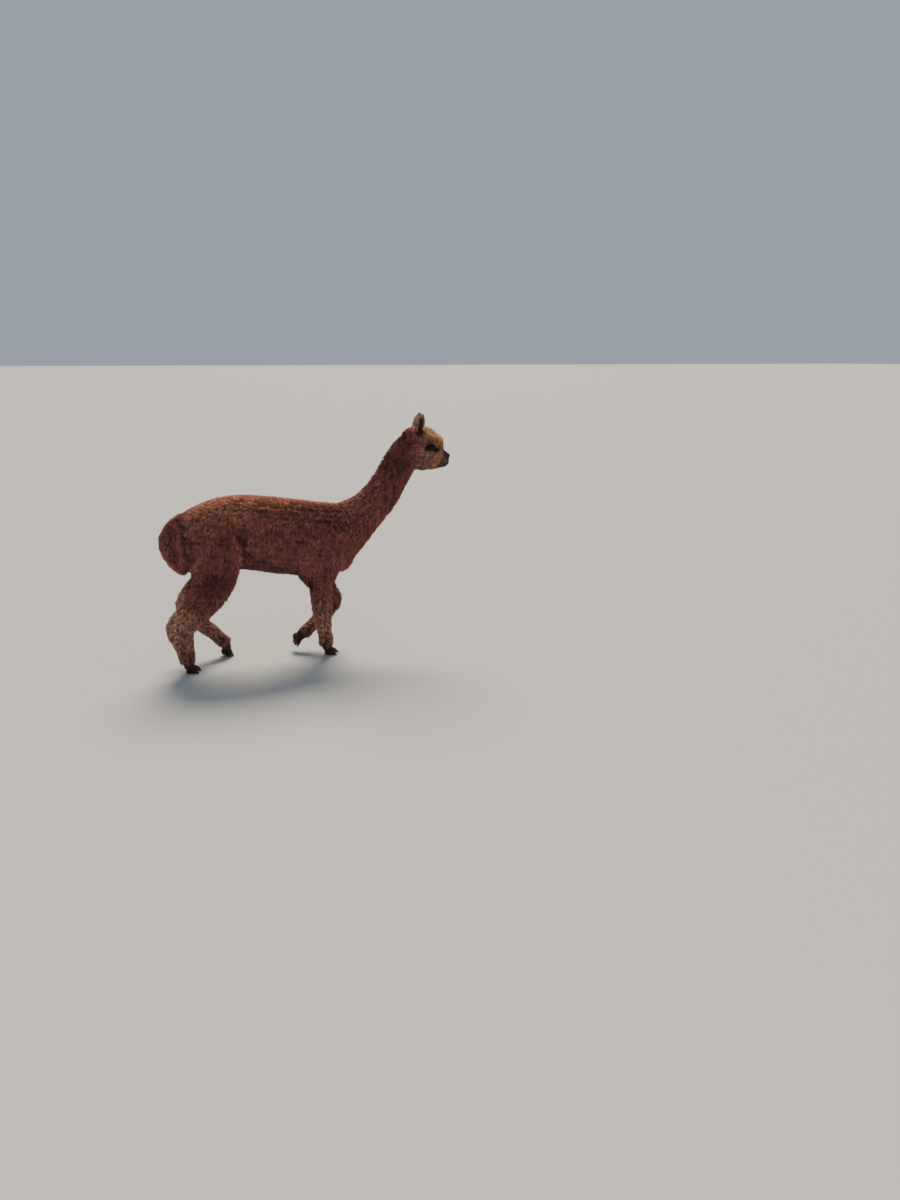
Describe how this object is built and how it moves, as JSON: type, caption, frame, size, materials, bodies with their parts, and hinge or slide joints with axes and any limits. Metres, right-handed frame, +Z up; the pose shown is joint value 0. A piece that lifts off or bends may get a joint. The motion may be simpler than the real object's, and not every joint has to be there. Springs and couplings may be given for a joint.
{
  "type": "alpaca",
  "caption": "Life-size still model of a walking young alpaca in a dense brown fleece, for museum display, resting on its planted feet.",
  "frame": {"origin": "on the floor, under the centre of the animal's box", "axes": "+X towards the nose end of the animal, along its body, +Y towards its left side, +Z up from the floor"},
  "size_m": [1.5514, 0.383, 1.2678],
  "materials": {
    "fleece": "dense crimped mahogany-brown fleece",
    "face_fleece": "short tan-brown face wool with a lighter topknot, black at the muzzle, eyes and inside the ears",
    "eye": "wet glossy dark-brown eye",
    "nail": "dull black horn"
  },
  "bodies": {
    "root": {"trunk": "fleece", "neck": "fleece", "tail": "fleece", "leg_hind_left_upper": "fleece", "leg_hind_left_lower": "fleece", "leg_hind_right_upper": "fleece", "leg_hind_right_lower": "fleece", "leg_front_left_upper": "fleece", "leg_front_left_lower": "fleece", "leg_front_right_upper": "fleece", "leg_front_right_lower": "fleece", "foot_hind_left": "fleece", "foot_hind_right": "fleece", "foot_front_left": "fleece", "foot_front_right": "fleece", "head": "face_fleece", "ear_left": "face_fleece", "ear_right": "face_fleece", "eye_left": "eye", "eye_right": "eye", "nail_hind_left_left": "nail", "nail_hind_left_right": "nail", "nail_hind_right_left": "nail", "nail_hind_right_right": "nail", "nail_front_left_left": "nail", "nail_front_left_right": "nail", "nail_front_right_left": "nail", "nail_front_right_right": "nail"}
  },
  "joints": []
}
